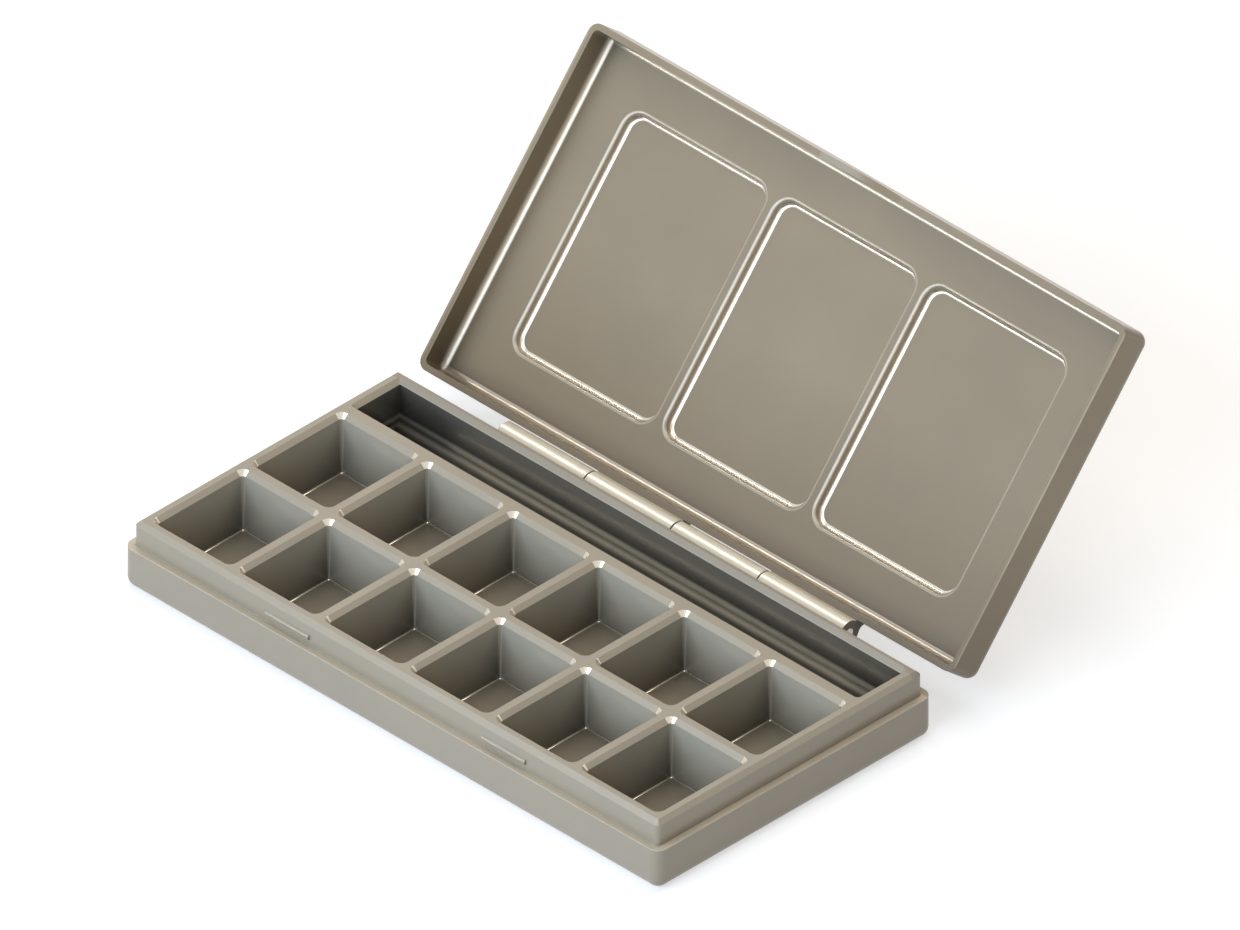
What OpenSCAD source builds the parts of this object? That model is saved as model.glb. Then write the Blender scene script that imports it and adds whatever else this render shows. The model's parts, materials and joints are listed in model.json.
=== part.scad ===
// Travel paint palette: a tray of paint wells with a brush trough, and a lid
// with mixing recesses that turns back on a pin hinge.
// Origin: centre of the tray's underside. X runs along the hinge, the hinge
// is at the +Y side, and Z is up. All sizes are in millimetres.

/* [Pose] */
// Angle that the lid stands open, from shut (0) to lying flat behind the tray (180), in degrees
open_angle = 130; // [0:1:180]

/* [Paint wells] */
// Number of wells in a row
well_columns = 6; // [3:1:8]
// Number of rows of wells
well_rows = 2; // [1:1:3]
// Inner size of a well along X, at the top of its wall
well_length = 16.78; // [14:0.01:22]
// Inner size of a well along Y, at the top of its wall
well_width = 19.8; // [16:0.05:26]
// Thickness of the walls between wells
divider = 3; // [2.4:0.1:5]
// Radius of the corners of a well's flat floor
well_corner_radius = 0.1; // [0.05:0.05:1]
// Radius where a well's wall meets its floor
well_floor_fillet = 0.3; // [0.2:0.05:0.8]
// How much a well's wall leans in, between its top and its floor
well_draft = 0.25; // [0.05:0.05:0.5]
// Height of the upright band at the top of a well's wall
well_land = 0.56; // [0.3:0.02:2]

/* [Brush trough] */
// Inner width of the trough, which is also the diameter of its round bottom
trough_width = 10; // [7:0.5:14]
// Wall between the last row of wells and the trough
trough_wall = 3.5; // [2.4:0.1:6]
// Wall between the trough and the back of the lip
back_wall = 2.25; // [1.9:0.05:4]

/* [Tray] */
// Height of the ledge that the lid's rim comes down to
ledge_height = 8; // [7.8:0.1:11]
// Height of the lip above the ledge
lip_height = 4.8; // [3.5:0.1:7]
// Wall between the outer wells and the face of the lip, at both ends and at the front
end_wall = 2.7; // [2.2:0.1:5]
// Thickness of the floor under the wells and the trough
floor_thickness = 1.3; // [0.8:0.1:2.5]
// Radius of the outer corners and of the outer bottom and top edges
corner_radius = 2; // [1.4:0.1:3]
// Chamfer round the deck, the wells and the trough
deck_chamfer = 0.82; // [0.4:0.02:0.9]
// Radius that is left at the corners of the flat deck
deck_corner_radius = 0.1; // [0.05:0.05:1]

/* [Snap ridges] */
// Length of a snap ridge
ridge_length = 10; // [6:0.5:16]
// Distance between the middles of the two snap ridges
ridge_spacing = 50; // [36:1:70]
// Radius of a snap ridge's round back
ridge_radius = 0.5; // [0.3:0.05:0.7]
// How far a snap ridge stands out of the lip
ridge_reach = 0.42; // [0.25:0.01:0.45]
// Height of a snap ridge's middle above the ledge
ridge_rise = 1.7; // [1.2:0.1:2.6]
// Clearance of a ridge in its groove in the lid
groove_clearance = 0.13; // [0.08:0.01:0.2]

/* [Lid] */
// Thickness of the lid's rim
lid_wall = 1.1; // [0.9:0.05:1.6]
// Clearance between the lid's rim and the lip
lid_clearance = 0.2; // [0.15:0.05:0.5]
// Gap that stays between the shut lid's rim and the ledge
seat_gap = 0.1; // [0.05:0.05:0.3]
// Clear height above the deck inside the lid
headroom = 0.4; // [0.2:0.1:4]
// Thickness of the lid's panel
panel_thickness = 2.3; // [1.9:0.1:3.2]
// Radius inside the lid, between its rim and its panel and down its corners
cavity_fillet = 1.05; // [0.6:0.05:1.5]

/* [Mixing recesses] */
// Number of mixing recesses
recess_count = 3; // [1:1:4]
// Depth of a recess in the panel
recess_depth = 1.5; // [1.3:0.1:1.8]
// Distance between two recesses
recess_gap = 2.6; // [2:0.1:5]
// Distance from the lid's ends to the first and last recess
recess_end_margin = 11.25; // [6:0.25:16]
// Distance from the lid's front and back to the recesses
recess_side_margin = 10; // [6:0.5:16]
// Radius of the corners of a recess
recess_corner_radius = 3; // [1.5:0.25:5]
// Radius of a recess's mouth and of the edge of its floor
recess_rounding = 0.6; // [0.3:0.05:0.65]

/* [Thumb notch] */
// Width of the thumb notch at the edge of the lid's front rim
notch_width = 18.2; // [12:0.2:26]
// Height of the thumb notch
notch_height = 2; // [1.2:0.1:3]

/* [Hinge] */
// Number of knuckles, tray and lid by turns
knuckle_count = 4; // [3:1:5]
// Distance between the middles of two knuckles
knuckle_pitch = 20; // [12:0.5:22]
// Gap between two knuckles
knuckle_gap = 0.3; // [0.2:0.05:0.6]
// Radius of the knuckles
knuckle_radius = 2.3; // [1.8:0.1:2.6]
// Clearance between a knuckle and the wall that turns past it
knuckle_clearance = 0.2; // [0.15:0.05:0.4]
// Radius of the hollow between a knuckle and its own wall
knuckle_fillet = 1.25; // [0.8:0.05:1.6]
// Diameter of the hinge pin
pin_diameter = 1.75; // [1.4:0.05:2.2]
// Radial clearance of the pin in the lid's knuckles
pin_clearance = 0.05; // [0.03:0.01:0.1]
// Radial squeeze of the pin in the tray's knuckles
pin_squeeze = 0.01; // [0:0.005:0.02]

/* [Hidden] */
$fn = 96;

// Distance that a cut runs past the surface that it opens, and that a joined
// piece reaches into the wall that carries it
overrun = 0.5;

// The tray's outline grows out of the wells and walls that it holds
wells_length = well_columns * well_length + (well_columns - 1) * divider;
rows_width = well_rows * well_width + (well_rows - 1) * divider;
lip_length = wells_length + 2 * end_wall;
lip_width = end_wall + rows_width + trough_wall + trough_width + back_wall;
lip_inset = lid_wall + lid_clearance;
body_length = lip_length + 2 * lip_inset;
body_width = lip_width + 2 * lip_inset;
deck_height = ledge_height + lip_height;
lip_corner_radius = deck_corner_radius + deck_chamfer;

// The middle of the first well, and the trough's middle
first_well_x = -wells_length / 2 + well_length / 2;
first_well_y = -lip_width / 2 + end_wall + well_width / 2;
trough_y = lip_width / 2 - back_wall - trough_width / 2;
trough_radius = trough_width / 2;
trough_axis_height = floor_thickness + trough_radius;

// The lid, as it lies when it is shut
rim_height = ledge_height + seat_gap;
cavity_depth = lip_height + headroom;
lid_height = cavity_depth + panel_thickness;
cavity_length = body_length - 2 * lid_wall;
cavity_width = body_width - 2 * lid_wall;
recess_length = (body_length - 2 * recess_end_margin - (recess_count - 1) * recess_gap) / recess_count;
recess_width = body_width - 2 * recess_side_margin;
notch_radius = (pow(notch_width / 2, 2) + pow(notch_height, 2)) / (2 * notch_height);

// The hinge axis lies level with the ledge, behind the tray's back wall
hinge_offset = knuckle_radius + knuckle_clearance;
hinge_y = body_width / 2 + hinge_offset;
hinge_length = knuckle_count * knuckle_pitch - knuckle_gap;
knuckle_length = knuckle_pitch - knuckle_gap;
fillet_drop = sqrt(pow(knuckle_radius + knuckle_fillet, 2) - pow(hinge_offset - knuckle_fillet, 2));
pin_radius = pin_diameter / 2;

tray_color = [0.69, 0.65, 0.57];
lid_color = [0.64, 0.6, 0.53];
pin_color = [0.74, 0.73, 0.7];

// Lays a flat section on end, with its x along Y and its y along Z, and runs
// it along X for the given length, centred
module along_x(length) {
    translate([-length / 2, 0, 0])
        rotate([90, 0, 90])
            linear_extrude(length)
                children();
}

// A straight slab along X for the given length. Its section is a plain middle
// as wide as the span, with the child, a half section, on both sides of it.
module slab(length, span, low, high) {
    along_x(length) {
        translate([-span / 2, low])
            square([span, high - low]);
        for (side = [0, 1])
            mirror([side, 0])
                translate([span / 2, 0])
                    children();
    }
}

// A block with rounded sides: two slabs that cross, and a turned corner at each
// of its four vertical edges. Its half section, the child, has its x measured
// outwards from the centres of those corners. The spans are the distances
// between the centres, and the slabs' middles fill the heights from low to high.
module swept_block(span_x, span_y, low, high) {
    slab(span_x, span_y, low, high)
        children();
    rotate([0, 0, 90])
        slab(span_y, span_x, low, high)
            children();
    for (side_x = [-1, 1], side_y = [-1, 1])
        translate([side_x * span_x / 2, side_y * span_y / 2, 0])
            rotate_extrude()
                children();
}

// Quarter of a disc, in the quarter where x and y grow
module quarter_disc(radius) {
    intersection() {
        circle(radius);
        square(radius);
    }
}

// Half section of the tray below the ledge: an upright side on a round edge
module body_section() {
    translate([0, corner_radius])
        square([corner_radius, ledge_height - corner_radius]);
    translate([0, corner_radius])
        mirror([0, 1])
            quarter_disc(corner_radius);
}

// Half section of the lip, chamfered at the deck
module lip_section() {
    polygon([
        [0, corner_radius],
        [lip_corner_radius, corner_radius],
        [lip_corner_radius, deck_height - deck_chamfer],
        [deck_corner_radius, deck_height],
        [0, deck_height]
    ]);
}

// Half section of the space in a well, from its floor to above the deck
module well_section() {
    foot = well_corner_radius + well_floor_fillet;
    top = foot + well_draft;
    fillet_top = floor_thickness + well_floor_fillet;
    chamfer_foot = deck_height - deck_chamfer;
    polygon([
        [0, floor_thickness],
        [well_corner_radius, floor_thickness],
        [foot, fillet_top],
        [top, chamfer_foot - well_land],
        [top, chamfer_foot],
        [top + deck_chamfer + overrun, deck_height + overrun],
        [0, deck_height + overrun]
    ]);
    translate([well_corner_radius, fillet_top])
        mirror([0, 1])
            quarter_disc(well_floor_fillet);
}

// The space in one well, centred
module well_space() {
    inset = 2 * (well_corner_radius + well_floor_fillet + well_draft);
    swept_block(well_length - inset, well_width - inset, floor_thickness, deck_height + overrun)
        well_section();
}

// The space in the trough, with its round bottom and its chamfered mouth
module trough_space() {
    translate([0, 0, trough_axis_height]) {
        rotate([0, 90, 0])
            cylinder(h = wells_length, r = trough_radius, center = true);
        translate([-wells_length / 2, -trough_radius, 0])
            cube([wells_length, trough_width, deck_height - trough_axis_height + overrun]);
    }
    swept_block(wells_length, trough_width, deck_height - deck_chamfer, deck_height + overrun)
        polygon([
            [0, deck_height - deck_chamfer],
            [deck_chamfer + overrun, deck_height + overrun],
            [0, deck_height + overrun]
        ]);
}

// A round bar at the place of each snap ridge, as wide and long as asked
module at_ridges(radius, length) {
    for (side = [-1, 1])
        translate([
            side * ridge_spacing / 2,
            -lip_width / 2 + ridge_radius - ridge_reach,
            ledge_height + ridge_rise
        ])
            rotate([0, 90, 0])
                cylinder(h = length, r = radius, center = true);
}

// Section of a knuckle and the web that joins it to its wall. Its x is
// measured out from the wall, and its y from the axis towards the web's foot.
module knuckle_section(web_start) {
    translate([hinge_offset, 0])
        circle(knuckle_radius);
    difference() {
        polygon([
            [-overrun, web_start],
            [hinge_offset, web_start],
            [knuckle_fillet, fillet_drop],
            [-overrun, fillet_drop]
        ]);
        translate([knuckle_fillet, fillet_drop])
            circle(knuckle_fillet);
    }
}

// The knuckles of one leaf of the hinge: every second one, from first on
module knuckles(first, web_start, web_side) {
    for (i = [first : 2 : knuckle_count - 1])
        translate([(i - (knuckle_count - 1) / 2) * knuckle_pitch, body_width / 2, ledge_height])
            along_x(knuckle_length)
                scale([1, web_side])
                    knuckle_section(web_start);
}

// A round bar on the hinge axis
module on_hinge_axis(radius, length) {
    translate([0, hinge_y, ledge_height])
        rotate([0, 90, 0])
            cylinder(h = length, r = radius, center = true);
}

module base_tray() {
    color(tray_color)
        difference() {
            union() {
                swept_block(body_length - 2 * corner_radius, body_width - 2 * corner_radius, 0, ledge_height)
                    body_section();
                swept_block(
                    lip_length - 2 * lip_corner_radius,
                    lip_width - 2 * lip_corner_radius,
                    corner_radius,
                    deck_height
                )
                    lip_section();
                at_ridges(ridge_radius, ridge_length);
                knuckles(0, 0, -1);
            }
            for (column = [0 : well_columns - 1], row = [0 : well_rows - 1])
                translate([
                    first_well_x + column * (well_length + divider),
                    first_well_y + row * (well_width + divider),
                    0
                ])
                    well_space();
            translate([0, trough_y, 0])
                trough_space();
            on_hinge_axis(pin_radius - pin_squeeze, hinge_length + overrun);
        }
}

// Half section of the lid's outside, from its rim up to a round edge
module lid_section() {
    translate([0, rim_height])
        square([corner_radius, lid_height - corner_radius]);
    translate([0, rim_height + lid_height - corner_radius])
        quarter_disc(corner_radius);
}

// Half section of the space inside the lid, up to its panel
module cavity_section() {
    translate([0, rim_height - overrun])
        square([cavity_fillet, cavity_depth - cavity_fillet + overrun]);
    translate([0, rim_height + cavity_depth - cavity_fillet])
        quarter_disc(cavity_fillet);
}

// Half section of a mixing recess above the panel's inner face, with a
// rounded mouth and a rounded floor edge
module recess_section() {
    floor_radius = recess_corner_radius - recess_rounding;
    mouth_radius = recess_corner_radius + recess_rounding;
    shoulder = recess_depth - recess_rounding;
    difference() {
        polygon([
            [0, -overrun],
            [mouth_radius, -overrun],
            [mouth_radius, recess_rounding],
            [recess_corner_radius, recess_rounding],
            [recess_corner_radius, shoulder],
            [floor_radius, shoulder],
            [floor_radius, recess_depth],
            [0, recess_depth]
        ]);
        translate([mouth_radius, recess_rounding])
            circle(recess_rounding);
    }
    translate([floor_radius, shoulder])
        quarter_disc(recess_rounding);
}

// The space in all the mixing recesses
module recess_spaces() {
    inset = 2 * recess_corner_radius;
    for (i = [0 : recess_count - 1])
        translate([
            (i - (recess_count - 1) / 2) * (recess_length + recess_gap),
            0,
            rim_height + cavity_depth
        ])
            swept_block(recess_length - inset, recess_width - inset, -overrun, recess_depth)
                recess_section();
}

// The round cut that leaves the thumb notch in the front rim
module notch_space() {
    translate([0, -body_width / 2 - overrun, rim_height + notch_height - notch_radius])
        rotate([-90, 0, 0])
            cylinder(h = lid_wall + 2 * overrun, r = notch_radius);
}

// The lid in its shut place
module shut_lid() {
    difference() {
        union() {
            swept_block(
                body_length - 2 * corner_radius,
                body_width - 2 * corner_radius,
                rim_height,
                rim_height + lid_height
            )
                lid_section();
            knuckles(1, seat_gap, 1);
        }
        swept_block(
            cavity_length - 2 * cavity_fillet,
            cavity_width - 2 * cavity_fillet,
            rim_height - overrun,
            rim_height + cavity_depth
        )
            cavity_section();
        recess_spaces();
        notch_space();
        at_ridges(ridge_radius + groove_clearance, ridge_length + 2 * groove_clearance);
        on_hinge_axis(pin_radius + pin_clearance, hinge_length + overrun);
    }
}

module lid() {
    color(lid_color)
        translate([0, hinge_y, ledge_height])
            rotate([-open_angle, 0, 0])
                translate([0, -hinge_y, -ledge_height])
                    shut_lid();
}

module hinge_pin() {
    color(pin_color)
        on_hinge_axis(pin_radius, hinge_length);
}

base_tray();
hinge_pin();
lid();
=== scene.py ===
import json
import math

import bpy
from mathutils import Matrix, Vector


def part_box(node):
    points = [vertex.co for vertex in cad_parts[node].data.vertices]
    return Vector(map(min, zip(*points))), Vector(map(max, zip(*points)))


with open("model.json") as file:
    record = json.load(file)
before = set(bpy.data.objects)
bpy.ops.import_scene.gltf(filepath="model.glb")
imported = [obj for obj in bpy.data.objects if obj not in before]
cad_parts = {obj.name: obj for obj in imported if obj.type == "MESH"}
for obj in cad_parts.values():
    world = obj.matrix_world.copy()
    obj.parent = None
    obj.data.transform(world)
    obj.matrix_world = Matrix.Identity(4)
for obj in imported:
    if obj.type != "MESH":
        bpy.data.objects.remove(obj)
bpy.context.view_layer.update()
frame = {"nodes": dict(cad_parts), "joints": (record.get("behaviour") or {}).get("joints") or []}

# The looks of a travel paint palette: satin finishes, a turned steel pin, plain studio light and the view

# Lengths are in metres, and this is a millimetre
MM = 0.001

# The view: a true isometric one, with the whole frame this wide, and all that lies within this depth
VIEW_AZIMUTH = math.radians(45)
VIEW_ELEVATION = math.atan(math.sqrt(0.5))
VIEW_AIM = Vector((0, 21.22, 28.29)) * MM
VIEW_WIDTH = 202.49 * MM
VIEW_DISTANCE = 600 * MM
VIEW_DEPTH = (10 * MM, 10.0)

# The floor lies this far under the tray, so that the two faces never share a plane
FLOOR_DROP = 0.05 * MM
FLOOR_SIZE = 4.0
FLOOR_COLOR = (0.60, 0.60, 0.60)
FLOOR_GLOW = 0.56
WHITE = (1.0, 1.0, 1.0)

# Light levels: at 1 a white surface that faces the light renders white
AMBIENT_LEVEL = 0.04
AMBIENT_COLOR = (0.96, 0.98, 1.05)
LAMP_DISTANCE = 0.8

# Each lamp: its azimuth and elevation in degrees, its width and height in metres, its level and its colour
LAMPS = {
    "front": (0, 28, 1.0, 0.65, 0.93, (0.81, 1.01, 1.30)),
    "back": (180, 50, 0.5, 0.4, 0.36, (1.0, 0.95, 0.86)),
    "top": (0, 86, 0.5, 0.5, 0.24, (1.06, 0.97, 0.86)),
    "low_back": (214, 10, 0.4, 0.14, 0.15, (1.0, 0.95, 0.88)),
    "viewer": (48, 36, 0.05, 0.40, 0.08, (1.1, 1.0, 0.86)),
    "left_high": (255, 53, 0.16, 0.06, 0.08, (1.0, 0.97, 0.92)),
    "low_left": (325, 8, 0.16, 0.05, 0.09, (1.0, 0.97, 0.92)),
    "left": (260, 4, 0.06, 0.04, 0.02, (1.0, 1.0, 1.0)),
}

# Finishes, as linear colours
SATIN_COLOR = (0.372, 0.316, 0.232)
SATIN_METALLIC = 0.12
SATIN_ROUGHNESS = (0.33, 0.38)
# The polish colour is lighter than the satin: painted glints, over the polish's real gloss
POLISH_GLINT_COLOR = (0.70, 0.63, 0.52)
POLISH_METALLIC = 0.85
POLISH_ROUGHNESS = 0.17
# The knuckles' paler colour is a painted sheen, over their real smoother, more metallic finish
KNUCKLE_SHEEN_COLOR = (0.84, 0.77, 0.62)
KNUCKLE_METALLIC = 0.35
KNUCKLE_ROUGHNESS = 0.28
# The smooth trough's darker colour is painted shade, over its real smoother, more metallic finish
SMOOTH_SHADE_COLOR = (0.27, 0.25, 0.205)
SMOOTH_METALLIC = 0.6
SMOOTH_ROUGHNESS = 0.2
COAT_WEIGHT = 0.2
COAT_ROUGHNESS = 0.14
STEEL_COLOR = (0.60, 0.58, 0.54)
STEEL_ROUGHNESS = (0.24, 0.32)

# Sizes of the satin finish's grain, patches and clouds, and how much they change its roughness and tone
GRAIN = 0.12 * MM
PATCHES = 2.5 * MM
CLOUDS = 14 * MM
GRAIN_ROUGHNESS = 0.02
CLOUD_TONES = (0.97, 1.03)

# Sizes of the pin's turned lines and clouds, and how much they change its roughness and tone
LINES = 0.06 * MM
STEEL_CLOUDS = 3 * MM
LINE_ROUGHNESS = 0.05
LINE_TONES = (0.85, 1.1)

# How deep the grain and the turned lines are, and how strongly they show
BUMP_DEPTH = 0.01 * MM
GRAIN_STRENGTH = 0.12
LINE_STRENGTH = 0.2

# Most of a noise lies between these two values
NOISE = (0.3, 0.7)

# Wear: how far rays into the solid look for another face, and the shares of them that find none where wear
# starts and where it is full. It comes in patches, from its least to its most, with a tone of its own
WEAR_REACH = 0.35 * MM
WEAR_SOLID = (0.85, 0.55)
WEAR_PATCHES = (0.35, 0.65)
WEAR_SHARES = (0.05, 0.3)
WEAR_TONE = 1.5

# Sharp edges show as rounded by these radii
EDGE_RADIUS = 0.12 * MM
STEEL_EDGE_RADIUS = 0.06 * MM

# Painted shade in hollows: how far round they are looked for, how open the deepest places and open ones are,
# and the tones of the painted shade
TRAY_HOLLOW = 14 * MM
LID_HOLLOW = 20 * MM
HOLLOW_OPENNESS = (0.12, 0.6)
HOLLOW_SHADE_TONES = (0.1, 1.0)

# Rays that look for edges, to wear them and to round them, and rays that look for hollows, to paint shade in
# them
EDGE_RAYS = 6
HOLLOW_RAYS = 8

# Polish, with its painted glints, varies a little from patch to patch
POLISH_PATCHES = (0.25, 0.6)
POLISH_SHARES = (0.93, 1.0)

# Masks reach past the faces that they cover, or stop short of the next ones, by one of these
MARGIN = 0.1 * MM
FINE_MARGIN = 0.02 * MM

# A name that ends in END is a distance from the middle along X, and one that ends in SIDE is one along Y

# The hinge: its axis, how far the lid stands open from shut, and its knuckles. Their mask fades out between
# the radius and KNUCKLE_EDGE times the radius
HINGE = frame["joints"][0]
HINGE_PLACE = Vector(HINGE["pos_m"])
LID_ANGLE = -math.radians(HINGE["range_deg"][0])
KNUCKLE_COUNT = 4
KNUCKLE_PITCH = 20 * MM
KNUCKLE_GAP = 0.3 * MM
KNUCKLE_RADIUS = 2.3 * MM
KNUCKLE_EDGE = 1.04
KNUCKLES_END = (KNUCKLE_COUNT * KNUCKLE_PITCH - KNUCKLE_GAP - MARGIN) / 2

# The tray: its outer faces, the height of its deck, the faces of its lip, and the ledge level with the hinge
LOWEST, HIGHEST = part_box("base_tray")
TRAY_END = HIGHEST.x
TRAY_SIDE = -LOWEST.y
DECK = HIGHEST.z
LID_WALL = 1.1 * MM
LID_CLEARANCE = 0.2 * MM
LIP_END = TRAY_END - LID_WALL - LID_CLEARANCE
LIP_SIDE = TRAY_SIDE - LID_WALL - LID_CLEARANCE
LEDGE = (HINGE_PLACE.z - MARGIN, HINGE_PLACE.z + MARGIN / 2)

# The trough, and the heights of the painted reflections, lighter bands along its round bottom
TROUGH_WIDTH = 10 * MM
TROUGH_WALL = 3.5 * MM
BACK_WALL = 2.25 * MM
END_WALL = 2.7 * MM
TROUGH_BACK = LIP_SIDE - BACK_WALL
TROUGH_FRONT = TROUGH_BACK - TROUGH_WIDTH
TROUGH = (TROUGH_FRONT - MARGIN, TROUGH_BACK + MARGIN)
TROUGH_END = LIP_END - END_WALL + MARGIN
REFLECTION_BAND_HEIGHTS = (4.19 * MM, 5.75 * MM)
REFLECTION_BAND_HALF = 0.7 * MM

# The wells: their size and pitch, the middle of one of them, and the middles of the walls round them all
WELL_LENGTH = 16.78 * MM
WELL_WIDTH = 19.8 * MM
DIVIDER = 3 * MM
WELL_PITCH = (WELL_LENGTH + DIVIDER, WELL_WIDTH + DIVIDER)
WELL_MIDDLE = (WELL_PITCH[0] / 2, END_WALL - LIP_SIDE + WELL_WIDTH / 2)
WELLS_FRONT = END_WALL / 2 - LIP_SIDE
WELLS_BACK = TROUGH_FRONT - TROUGH_WALL / 2
WELLS_END = LIP_END - END_WALL / 2

# The heights of the fillet round a well's floor, and of the chamfers of the deck
TRAY_FLOOR = 1.3 * MM
WELL_FILLET = 0.3 * MM
DECK_CHAMFER = 0.82 * MM
WELL_FLOOR = (TRAY_FLOOR + FINE_MARGIN / 2, TRAY_FLOOR + WELL_FILLET + FINE_MARGIN)
CHAMFER = (DECK - DECK_CHAMFER - FINE_MARGIN, DECK - FINE_MARGIN)

# A corner of the chamfers starts this far inside a well's walls, and spans this much along X and Y
CORNER_INSET = 0.65 * MM
CORNER_REACH = (0.0, 1.6 * MM)
WELL_CORNERS = (WELL_LENGTH / 2 - CORNER_INSET, WELL_WIDTH / 2 - CORNER_INSET)

# The tray's painted light and shade: painted light on the wells' walls, painted shade on the ones at a well's
# ends from the floor up, and how far past the start of its corners those stand, then painted light on the
# ledge, painted shade on the deck behind the trough, and the painted reflection bands
WELL_PAINTED_LIGHT = (1.30, 1.38, 1.46)
WELL_END_SHADES = (0.44, 0.90)
WELL_ENDS = 0.3 * MM
# The ledge is painted lighter where the lip shades it
LEDGE_PAINTED_LIGHT = 1.55
# The deck behind the trough is painted darker, as shade
BEHIND_PAINTED_SHADE = 0.82
REFLECTION_BAND_TONE = 3.8

# The shut lid: the height of its panel's inner face, and the recesses in it
HEADROOM = 0.4 * MM
SEAT_GAP = 0.1 * MM
PANEL = DECK + HEADROOM + SEAT_GAP
RECESS_COUNT = 3
RECESS_DEPTH = 1.5 * MM
RECESS_GAP = 2.6 * MM
RECESS_END_MARGIN = 11.25 * MM
RECESS_SIDE_MARGIN = 10 * MM
RECESS_RADIUS = 3 * MM
RECESSES_LENGTH = 2 * (TRAY_END - RECESS_END_MARGIN)
RECESS_PITCH = (RECESSES_LENGTH + RECESS_GAP) / RECESS_COUNT
RECESS_LENGTH = RECESS_PITCH - RECESS_GAP
RECESS_CORNERS = (RECESS_LENGTH / 2 - RECESS_RADIUS, TRAY_SIDE - RECESS_SIDE_MARGIN - RECESS_RADIUS)
RECESSES_END = RECESS_PITCH * RECESS_COUNT / 2

# The polished rims of the recesses, with painted glints: how far they reach from the outline, and how much of
# that has full polish and glint
RECESS_RIM = 0.75 * MM
RIM_CORE = 0.8
RECESS_HEIGHTS = (PANEL - MARGIN, PANEL + RECESS_DEPTH + MARGIN)

# The fillet inside the shut lid, between its panel and its walls
CAVITY_FILLET = 1.05 * MM
CAVITY_END = TRAY_END - LID_WALL
CAVITY_SIDE = TRAY_SIDE - LID_WALL
FILLET_HEIGHTS = (PANEL - CAVITY_FILLET, PANEL + MARGIN)

# How polished the mouths of the recesses and the fillet are, and how strong their painted glints are
RECESS_MOUTH_POLISH_AND_GLINT = 0.35
FILLET_POLISH_AND_GLINT = 0.6

# The lid's painted shade: darker than the tray, with more painted shade towards the hinge and towards one
# end, and painted light on its end faces
LID_SHADE_TONES = (0.74, 0.675, 0.57)
HINGE_SHADE_SPAN = (0.0, 30 * MM)
HINGE_SHADE_TONE = (0.63, 0.585, 0.49)
END_SHADE_SPAN = (0.0, 60 * MM)
END_SHADE_TONE = (0.85, 0.83, 0.78)
LID_END = TRAY_END - 0.34 * MM
LID_END_PAINTED_LIGHT = (1.42, 1.45, 1.52)


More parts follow.
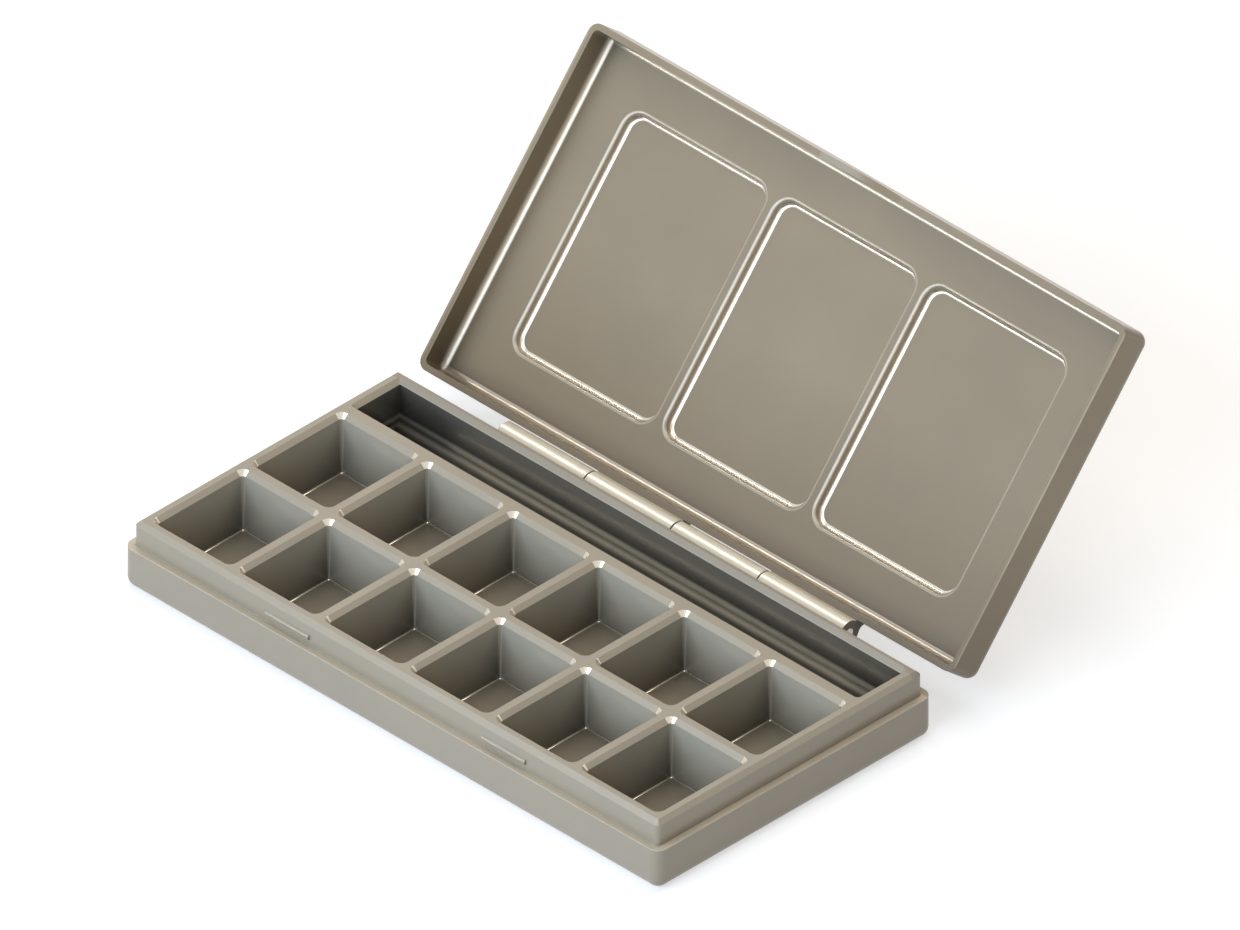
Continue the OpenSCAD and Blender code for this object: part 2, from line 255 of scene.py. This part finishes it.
class Nodes:
    """A short way to write a node tree."""

    def __init__(self, tree):
        self.tree = tree
        tree.nodes.clear()

    def add(self, kind, inputs=None, **settings):
        """Makes a node. An input that is a socket is linked, and any other is set."""
        node = self.tree.nodes.new(kind)
        for name, value in settings.items():
            setattr(node, name, value)
        for name, value in (inputs or {}).items():
            socket = node.inputs[name]
            if isinstance(value, bpy.types.NodeSocket):
                self.tree.links.new(value, socket)
            else:
                socket.default_value = value
        return node

    def math(self, operation, a, b=0.0):
        """The result of one operation, as a socket."""
        return self.add("ShaderNodeMath", {0: a, 1: b}, operation=operation).outputs[0]

    def ramp(self, value, span, result=(0.0, 1.0)):
        """Takes the span to the result, and stops at both ends."""
        return self.add("ShaderNodeMapRange", {
            "Value": value, "From Min": span[0], "From Max": span[1],
            "To Min": result[0], "To Max": result[1]}).outputs["Result"]

    def noise(self, place, size, detail=2.0, roughness=0.6):
        """Noise with features of about the given size, in metres."""
        inputs = {"Vector": place, "Scale": 1.0 / size, "Detail": detail, "Roughness": roughness}
        return self.add("ShaderNodeTexNoise", inputs).outputs["Fac"]

    def above(self, value, limit):
        """1 where the value is over the limit, and 0 elsewhere."""
        return self.math("GREATER_THAN", value, limit)

    def below(self, value, limit):
        """1 where the value is under the limit, and 0 elsewhere."""
        return self.math("LESS_THAN", value, limit)

    def between(self, value, limits):
        """1 where the value lies between the two limits."""
        return self.both(self.above(value, limits[0]), self.below(value, limits[1]))

    def beyond(self, value, limit):
        """1 where the value's size is over the limit."""
        return self.above(self.math("ABSOLUTE", value), limit)

    def within(self, value, limit):
        """1 where the value's size is under the limit."""
        return self.below(self.math("ABSOLUTE", value), limit)

    def band(self, value, middle, half):
        """1 at the middle, and less towards both sides, down to 0."""
        return self.ramp(self.math("ABSOLUTE", self.math("SUBTRACT", value, middle)), (half, 0.0))

    def both(self, a, b):
        """The product of two shares."""
        return self.math("MULTIPLY", a, b)

    def either(self, a, b):
        """The larger of two values."""
        return self.math("MAXIMUM", a, b)

    def grey(self, level):
        """A level as a colour."""
        return self.add("ShaderNodeCombineXYZ", {"X": level, "Y": level, "Z": level}).outputs[0]

    def axes(self, vector):
        """The three parts of a vector."""
        parts = self.add("ShaderNodeSeparateXYZ", {"Vector": vector}).outputs
        return parts["X"], parts["Y"], parts["Z"]

    def length(self, a, b):
        """The length of a vector with two parts."""
        squares = self.math("ADD", self.both(a, a), self.both(b, b))
        return self.math("SQRT", squares)

    def past_corner(self, value, middle, pitch, corner):
        """How far a value lies past the corner's middle, in a row that repeats with the pitch."""
        inputs = {0: self.math("SUBTRACT", value, middle), 1: pitch / 2, 2: -pitch / 2}
        wrapped = self.add("ShaderNodeMath", inputs, operation="WRAP").outputs[0]
        return self.math("SUBTRACT", self.math("ABSOLUTE", wrapped), corner)

    def blend(self, share, a, b):
        """The value a where the share is 0, and the number b where it is 1."""
        return self.ramp(share, (0.0, 1.0), (a, b))

    def mix(self, blend, share, a, b):
        """Two colours blended, as a socket."""
        inputs = {"Fac": share, "Color1": a, "Color2": b}
        return self.add("ShaderNodeMixRGB", inputs, blend_type=blend).outputs[0]

    def between_tones(self, share, color, tones):
        """The colour at the first tone where the share is 0, and at the second where it is 1."""
        return self.mix("MIX", share, rgba(color, tones[0]), rgba(color, tones[1]))

    def rounded_edges(self, radius):
        """The surface's direction, with its sharp edges shown as rounded ones."""
        return self.add("ShaderNodeBevel", {"Radius": radius}, samples=EDGE_RAYS).outputs["Normal"]

    def seen_as_backdrop(self):
        """1 for rays that show the backdrop: from the camera, off gloss and through glass."""
        path = self.add("ShaderNodeLightPath").outputs
        shown = self.either(path["Is Camera Ray"], path["Is Glossy Ray"])
        return self.either(shown, path["Is Transmission Ray"])


def rgba(color, level=1.0):
    """The colour at a level, with its alpha."""
    return (*[level * part for part in color], 1.0)


def view_direction(azimuth, elevation):
    """From the aim to the camera or a lamp. Azimuth 0 is in front, and a quarter turn is at the right."""
    return Vector((
        math.sin(azimuth) * math.cos(elevation),
        -math.cos(azimuth) * math.cos(elevation),
        math.sin(elevation),
    ))


def place_round_aim(obj, direction, distance):
    """Puts an object this far from the aim, turned to look at it."""
    bpy.context.scene.collection.objects.link(obj)
    obj.location = VIEW_AIM + direction * distance
    obj.rotation_mode = "QUATERNION"
    obj.rotation_quaternion = (-direction).to_track_quat("-Z", "Y")


def make_camera():
    data = bpy.data.cameras.new("camera")
    data.type = "ORTHO"
    data.ortho_scale = VIEW_WIDTH
    data.clip_start, data.clip_end = VIEW_DEPTH
    camera = bpy.data.objects.new("camera", data)
    place_round_aim(camera, view_direction(VIEW_AZIMUTH, VIEW_ELEVATION), VIEW_DISTANCE)
    bpy.context.scene.camera = camera


def softbox(name, azimuth, elevation, width, height, level, color):
    """A soft rectangular lamp that lights a surface facing it to the given level."""
    data = bpy.data.lights.new(name, "AREA")
    data.shape = "RECTANGLE"
    data.size = width
    data.size_y = height
    data.energy = level * (math.pi * LAMP_DISTANCE) ** 2
    data.color = color
    lamp = bpy.data.objects.new(name, data)
    place_round_aim(lamp, view_direction(math.radians(azimuth), math.radians(elevation)), LAMP_DISTANCE)
    lamp.visible_camera = False


def make_world():
    world = bpy.data.worlds.new("studio")
    world.use_nodes = True
    nodes = Nodes(world.node_tree)
    ambient = nodes.add("ShaderNodeBackground", {"Color": rgba(AMBIENT_COLOR), "Strength": AMBIENT_LEVEL})
    white = nodes.add("ShaderNodeBackground", {"Color": rgba(WHITE), "Strength": 1.0})
    mix = nodes.add("ShaderNodeMixShader", {
        "Fac": nodes.seen_as_backdrop(), 1: ambient.outputs[0], 2: white.outputs[0]})
    nodes.add("ShaderNodeOutputWorld", {"Surface": mix.outputs[0]})
    bpy.context.scene.world = world


def new_material(name):
    """A material, and its empty node tree."""
    material = bpy.data.materials.new(name)
    material.use_nodes = True
    return material, Nodes(material.node_tree)


def make_floor():
    """A plain pale floor that shows near white and keeps the object's shadow."""
    half = FLOOR_SIZE / 2
    mesh = bpy.data.meshes.new("floor")
    corners = [(-half, -half, 0), (half, -half, 0), (half, half, 0), (-half, half, 0)]
    mesh.from_pydata(corners, [], [(0, 1, 2, 3)])
    floor = bpy.data.objects.new("floor", mesh)
    floor.location.z = -FLOOR_DROP
    bpy.context.scene.collection.objects.link(floor)
    material, nodes = new_material("floor")
    matt = nodes.add("ShaderNodeBsdfDiffuse", {"Color": rgba(FLOOR_COLOR)})
    glow = nodes.math("MULTIPLY", nodes.seen_as_backdrop(), FLOOR_GLOW)
    white = nodes.add("ShaderNodeEmission", {"Color": rgba(WHITE), "Strength": glow})
    both = nodes.add("ShaderNodeAddShader", {0: matt.outputs[0], 1: white.outputs[0]})
    nodes.add("ShaderNodeOutputMaterial", {"Surface": both.outputs[0]})
    mesh.materials.append(material)


def off_hinge(nodes, place):
    """How far a place lies from the hinge's axis."""
    y, z = nodes.axes(place)[1:]
    return nodes.length(nodes.math("SUBTRACT", y, HINGE_PLACE.y), nodes.math("SUBTRACT", z, HINGE_PLACE.z))


def knuckle_mask(nodes, place):
    """The knuckles lie round the hinge's axis. The end faces of the outer ones aren't in the mask."""
    barrel = nodes.ramp(off_hinge(nodes, place), (KNUCKLE_RADIUS * KNUCKLE_EDGE, KNUCKLE_RADIUS))
    return nodes.both(barrel, nodes.within(nodes.axes(place)[0], KNUCKLES_END))


def tray_masks(nodes, place):
    """The tray's polished places with painted glints, its smooth trough with painted shade, and its painted
    light and shade from place to place.
    """
    x, y, z = nodes.axes(place)
    past_x = nodes.past_corner(x, WELL_MIDDLE[0], WELL_PITCH[0], WELL_CORNERS[0])
    past_y = nodes.past_corner(y, WELL_MIDDLE[1], WELL_PITCH[1], WELL_CORNERS[1])

    # The wells' floor edges and the corners of their chamfers are polished, with painted glints
    corner = nodes.both(nodes.between(past_x, CORNER_REACH), nodes.between(past_y, CORNER_REACH))
    corner = nodes.both(corner, nodes.between(z, CHAMFER))
    by_wells = nodes.both(nodes.between(y, (WELLS_FRONT, WELLS_BACK)), nodes.within(x, WELLS_END))
    polished_and_glinting = nodes.both(nodes.either(corner, nodes.between(z, WELL_FLOOR)), by_wells)

    # The trough is smooth, with painted shade in its darker colour
    trough = nodes.both(nodes.between(y, TROUGH), nodes.between(z, (WELL_FLOOR[0], CHAMFER[0])))
    trough = nodes.both(trough, nodes.within(x, TROUGH_END))

    # Places with painted light or shade of their own
    wall_heights = (WELL_FLOOR[1], CHAMFER[0])
    wells = nodes.both(by_wells, nodes.between(z, wall_heights))
    ends = nodes.both(wells, nodes.above(past_x, WELL_ENDS))
    outside = nodes.either(nodes.beyond(x, LIP_END), nodes.below(y, -LIP_SIDE))
    ledge = nodes.both(nodes.both(outside, nodes.below(y, LIP_SIDE)), nodes.between(z, LEDGE))
    behind = nodes.both(nodes.between(y, (TROUGH[1], LIP_SIDE)), nodes.above(z, CHAMFER[0]))
    # Painted reflections: lighter bands along the trough's round bottom
    reflection_bands = nodes.either(*[nodes.band(z, height, REFLECTION_BAND_HALF) for height in REFLECTION_BAND_HEIGHTS])
    painted_light_and_shade = nodes.mix("MIX", wells, rgba(WHITE), rgba(WELL_PAINTED_LIGHT))
    for share, color in (
            (ends, nodes.grey(nodes.ramp(z, wall_heights, WELL_END_SHADES))),
            (ledge, rgba(WHITE, LEDGE_PAINTED_LIGHT)),
            (behind, rgba(WHITE, BEHIND_PAINTED_SHADE)),
            (nodes.both(trough, reflection_bands), rgba(WHITE, REFLECTION_BAND_TONE))):
        painted_light_and_shade = nodes.mix("MULTIPLY", share, painted_light_and_shade, color)
    return polished_and_glinting, trough, painted_light_and_shade


def lid_masks(nodes, place):
    """The lid's polished places with painted glints, nothing smooth, and its painted light and shade from
    place to place.
    """
    shut = nodes.add("ShaderNodeVectorRotate", {
        "Vector": place, "Center": HINGE_PLACE, "Axis": (1, 0, 0), "Angle": LID_ANGLE}).outputs[0]
    x, y, z = nodes.axes(shut)

    # The rims of the recesses, which get polish and painted glints, by how far a place lies outside a
    # recess's outline
    past_x = nodes.either(nodes.past_corner(x, 0.0, RECESS_PITCH, RECESS_CORNERS[0]), 0.0)
    past_y = nodes.either(nodes.math("SUBTRACT", nodes.math("ABSOLUTE", y), RECESS_CORNERS[1]), 0.0)
    off_rim = nodes.math("SUBTRACT", nodes.length(past_x, past_y), RECESS_RADIUS)
    inner = nodes.both(
        nodes.ramp(off_rim, (-RECESS_RIM, -RECESS_RIM * RIM_CORE)),
        nodes.ramp(off_rim, (MARGIN / 2, -MARGIN / 2)))
    mouth = nodes.both(nodes.ramp(off_rim, (RECESS_RIM, RECESS_RIM * RIM_CORE)), nodes.above(off_rim, 0.0))
    rim_glints = nodes.either(inner, nodes.both(mouth, RECESS_MOUTH_POLISH_AND_GLINT))
    rim_glints = nodes.both(rim_glints, nodes.both(nodes.within(x, RECESSES_END), nodes.between(z, RECESS_HEIGHTS)))

    # The fillet round the panel, polished with a painted glint
    past_start = nodes.either(
        nodes.beyond(x, CAVITY_END - CAVITY_FILLET), nodes.beyond(y, CAVITY_SIDE - CAVITY_FILLET))
    inside = nodes.both(nodes.within(x, CAVITY_END + MARGIN), nodes.within(y, CAVITY_SIDE + MARGIN))
    fillet_glint = nodes.both(nodes.both(past_start, inside), nodes.between(z, FILLET_HEIGHTS))
    fillet_glint = nodes.both(fillet_glint, FILLET_POLISH_AND_GLINT)

    # Painted shade towards the hinge and towards one end, and painted light on the end faces
    painted_light_and_shade = nodes.mix("MIX", nodes.ramp(y, HINGE_SHADE_SPAN), rgba(WHITE), rgba(HINGE_SHADE_TONE))
    painted_light_and_shade = nodes.mix("MULTIPLY", nodes.ramp(x, END_SHADE_SPAN), painted_light_and_shade, rgba(END_SHADE_TONE))
    # The lid's end faces get painted light
    painted_light_and_shade = nodes.mix("MULTIPLY", nodes.beyond(x, LID_END), painted_light_and_shade, rgba(LID_END_PAINTED_LIGHT))
    return nodes.either(rim_glints, fillet_glint), 0.0, painted_light_and_shade


def satin_material(name, color, masks, hollow_reach, with_neighbours):
    """Moulded plastic with a fine satin grain and a metallic sheen, polished and with painted glints, painted
    light and shade as the masks say, and painted shade in its hollows.
    """
    material, nodes = new_material(name)
    place = nodes.add("ShaderNodeTexCoord").outputs["Object"]
    grain = nodes.noise(place, GRAIN, detail=3.0)
    clouds = nodes.noise(place, CLOUDS, detail=3.0, roughness=0.55)
    patches = nodes.noise(place, PATCHES)
    polished_and_glinting, smooth, painted_light_and_shade = masks(nodes, place)
    polished_and_glinting = nodes.both(polished_and_glinting, nodes.ramp(patches, POLISH_PATCHES, POLISH_SHARES))
    knuckle = knuckle_mask(nodes, place)

    # Worn along the edges that stick out, and painted shade deep down in the hollows
    solid = nodes.add(
        "ShaderNodeAmbientOcclusion", {"Distance": WEAR_REACH},
        samples=EDGE_RAYS, inside=True, only_local=True)
    worn = nodes.ramp(solid.outputs["AO"], WEAR_SOLID)
    worn = nodes.both(worn, nodes.ramp(patches, WEAR_PATCHES, WEAR_SHARES))
    hollow = nodes.add(
        "ShaderNodeAmbientOcclusion", {"Distance": hollow_reach},
        samples=HOLLOW_RAYS, only_local=not with_neighbours)
    painted_hollow_shade = nodes.grey(nodes.ramp(hollow.outputs["AO"], HOLLOW_OPENNESS, HOLLOW_SHADE_TONES))

    roughness = nodes.math(
        "ADD", nodes.ramp(grain, NOISE, (-GRAIN_ROUGHNESS, GRAIN_ROUGHNESS)),
        nodes.ramp(clouds, NOISE, SATIN_ROUGHNESS))
    metallic = SATIN_METALLIC
    for share, finish_roughness, finish_metallic in (
            (smooth, SMOOTH_ROUGHNESS, SMOOTH_METALLIC),
            (polished_and_glinting, POLISH_ROUGHNESS, POLISH_METALLIC),
            (knuckle, KNUCKLE_ROUGHNESS, KNUCKLE_METALLIC)):
        roughness = nodes.blend(share, roughness, finish_roughness)
        metallic = nodes.blend(share, metallic, finish_metallic)

    tint = nodes.between_tones(nodes.ramp(clouds, NOISE), color, CLOUD_TONES)
    # The smooth trough takes a darker colour, as painted shade
    tint = nodes.mix("MIX", smooth, tint, rgba(SMOOTH_SHADE_COLOR))
    tint = nodes.mix("MIX", worn, tint, rgba(color, WEAR_TONE))
    # The masks' painted light and shade
    tint = nodes.mix("MULTIPLY", 1.0, tint, painted_light_and_shade)
    # Polished places take a lighter colour, as painted glints
    tint = nodes.mix("MIX", polished_and_glinting, tint, rgba(POLISH_GLINT_COLOR))
    # The knuckles take a paler colour, as a painted sheen
    tint = nodes.mix("MIX", knuckle, tint, rgba(KNUCKLE_SHEEN_COLOR))
    # Painted shade in the hollows
    tint = nodes.mix("MULTIPLY", 1.0, tint, painted_hollow_shade)

    grainless = nodes.either(nodes.either(polished_and_glinting, smooth), knuckle)
    height = nodes.both(grain, nodes.math("SUBTRACT", 1.0, grainless))
    rounded = nodes.rounded_edges(EDGE_RADIUS)
    bump = nodes.add("ShaderNodeBump", {
        "Strength": GRAIN_STRENGTH, "Distance": BUMP_DEPTH, "Height": height, "Normal": rounded})
    shader = nodes.add("ShaderNodeBsdfPrincipled", {
        "Base Color": tint,
        "Metallic": metallic,
        "Roughness": roughness,
        "Normal": bump.outputs[0],
        "Coat Weight": COAT_WEIGHT,
        "Coat Roughness": COAT_ROUGHNESS,
    })
    nodes.add("ShaderNodeOutputMaterial", {"Surface": shader.outputs[0]})
    return material


def steel_material(name):
    """Turned steel for the hinge pin, with fine lines that run round its axis."""
    material, nodes = new_material(name)
    place = nodes.add("ShaderNodeTexCoord").outputs["Object"]
    along = nodes.axes(place)[0]
    rings = nodes.add("ShaderNodeCombineXYZ", {"X": along, "Y": off_hinge(nodes, place)}).outputs[0]
    lines = nodes.noise(rings, LINES)
    clouds = nodes.noise(place, STEEL_CLOUDS)
    tint = nodes.between_tones(nodes.ramp(lines, NOISE), STEEL_COLOR, LINE_TONES)
    roughness = nodes.math(
        "ADD", nodes.ramp(lines, NOISE, (-LINE_ROUGHNESS, LINE_ROUGHNESS)),
        nodes.ramp(clouds, NOISE, STEEL_ROUGHNESS))
    rounded = nodes.rounded_edges(STEEL_EDGE_RADIUS)
    bump = nodes.add("ShaderNodeBump", {
        "Strength": LINE_STRENGTH, "Distance": BUMP_DEPTH, "Height": lines, "Normal": rounded})
    shader = nodes.add("ShaderNodeBsdfPrincipled", {
        "Base Color": tint,
        "Metallic": 1.0,
        "Roughness": roughness,
        "Normal": bump.outputs[0],
    })
    nodes.add("ShaderNodeOutputMaterial", {"Surface": shader.outputs[0]})
    return material


def set_material(node, material):
    materials = frame["nodes"][node].data.materials
    materials.clear()
    materials.append(material)


bpy.context.scene.view_settings.view_transform = "Standard"
make_camera()
make_world()
make_floor()
for name, values in LAMPS.items():
    softbox(name, *values)
# The lid's colour is darker than the tray's, as painted shade
lid_shaded_color = [painted_light_and_shade * part for painted_light_and_shade, part in zip(LID_SHADE_TONES, SATIN_COLOR)]
tray_satin = satin_material("tray_satin", SATIN_COLOR, tray_masks, TRAY_HOLLOW, with_neighbours=False)
lid_satin = satin_material("lid_satin", lid_shaded_color, lid_masks, LID_HOLLOW, with_neighbours=True)
set_material("base_tray", tray_satin)
set_material("lid", lid_satin)
set_material("hinge_pin", steel_material("turned_steel"))
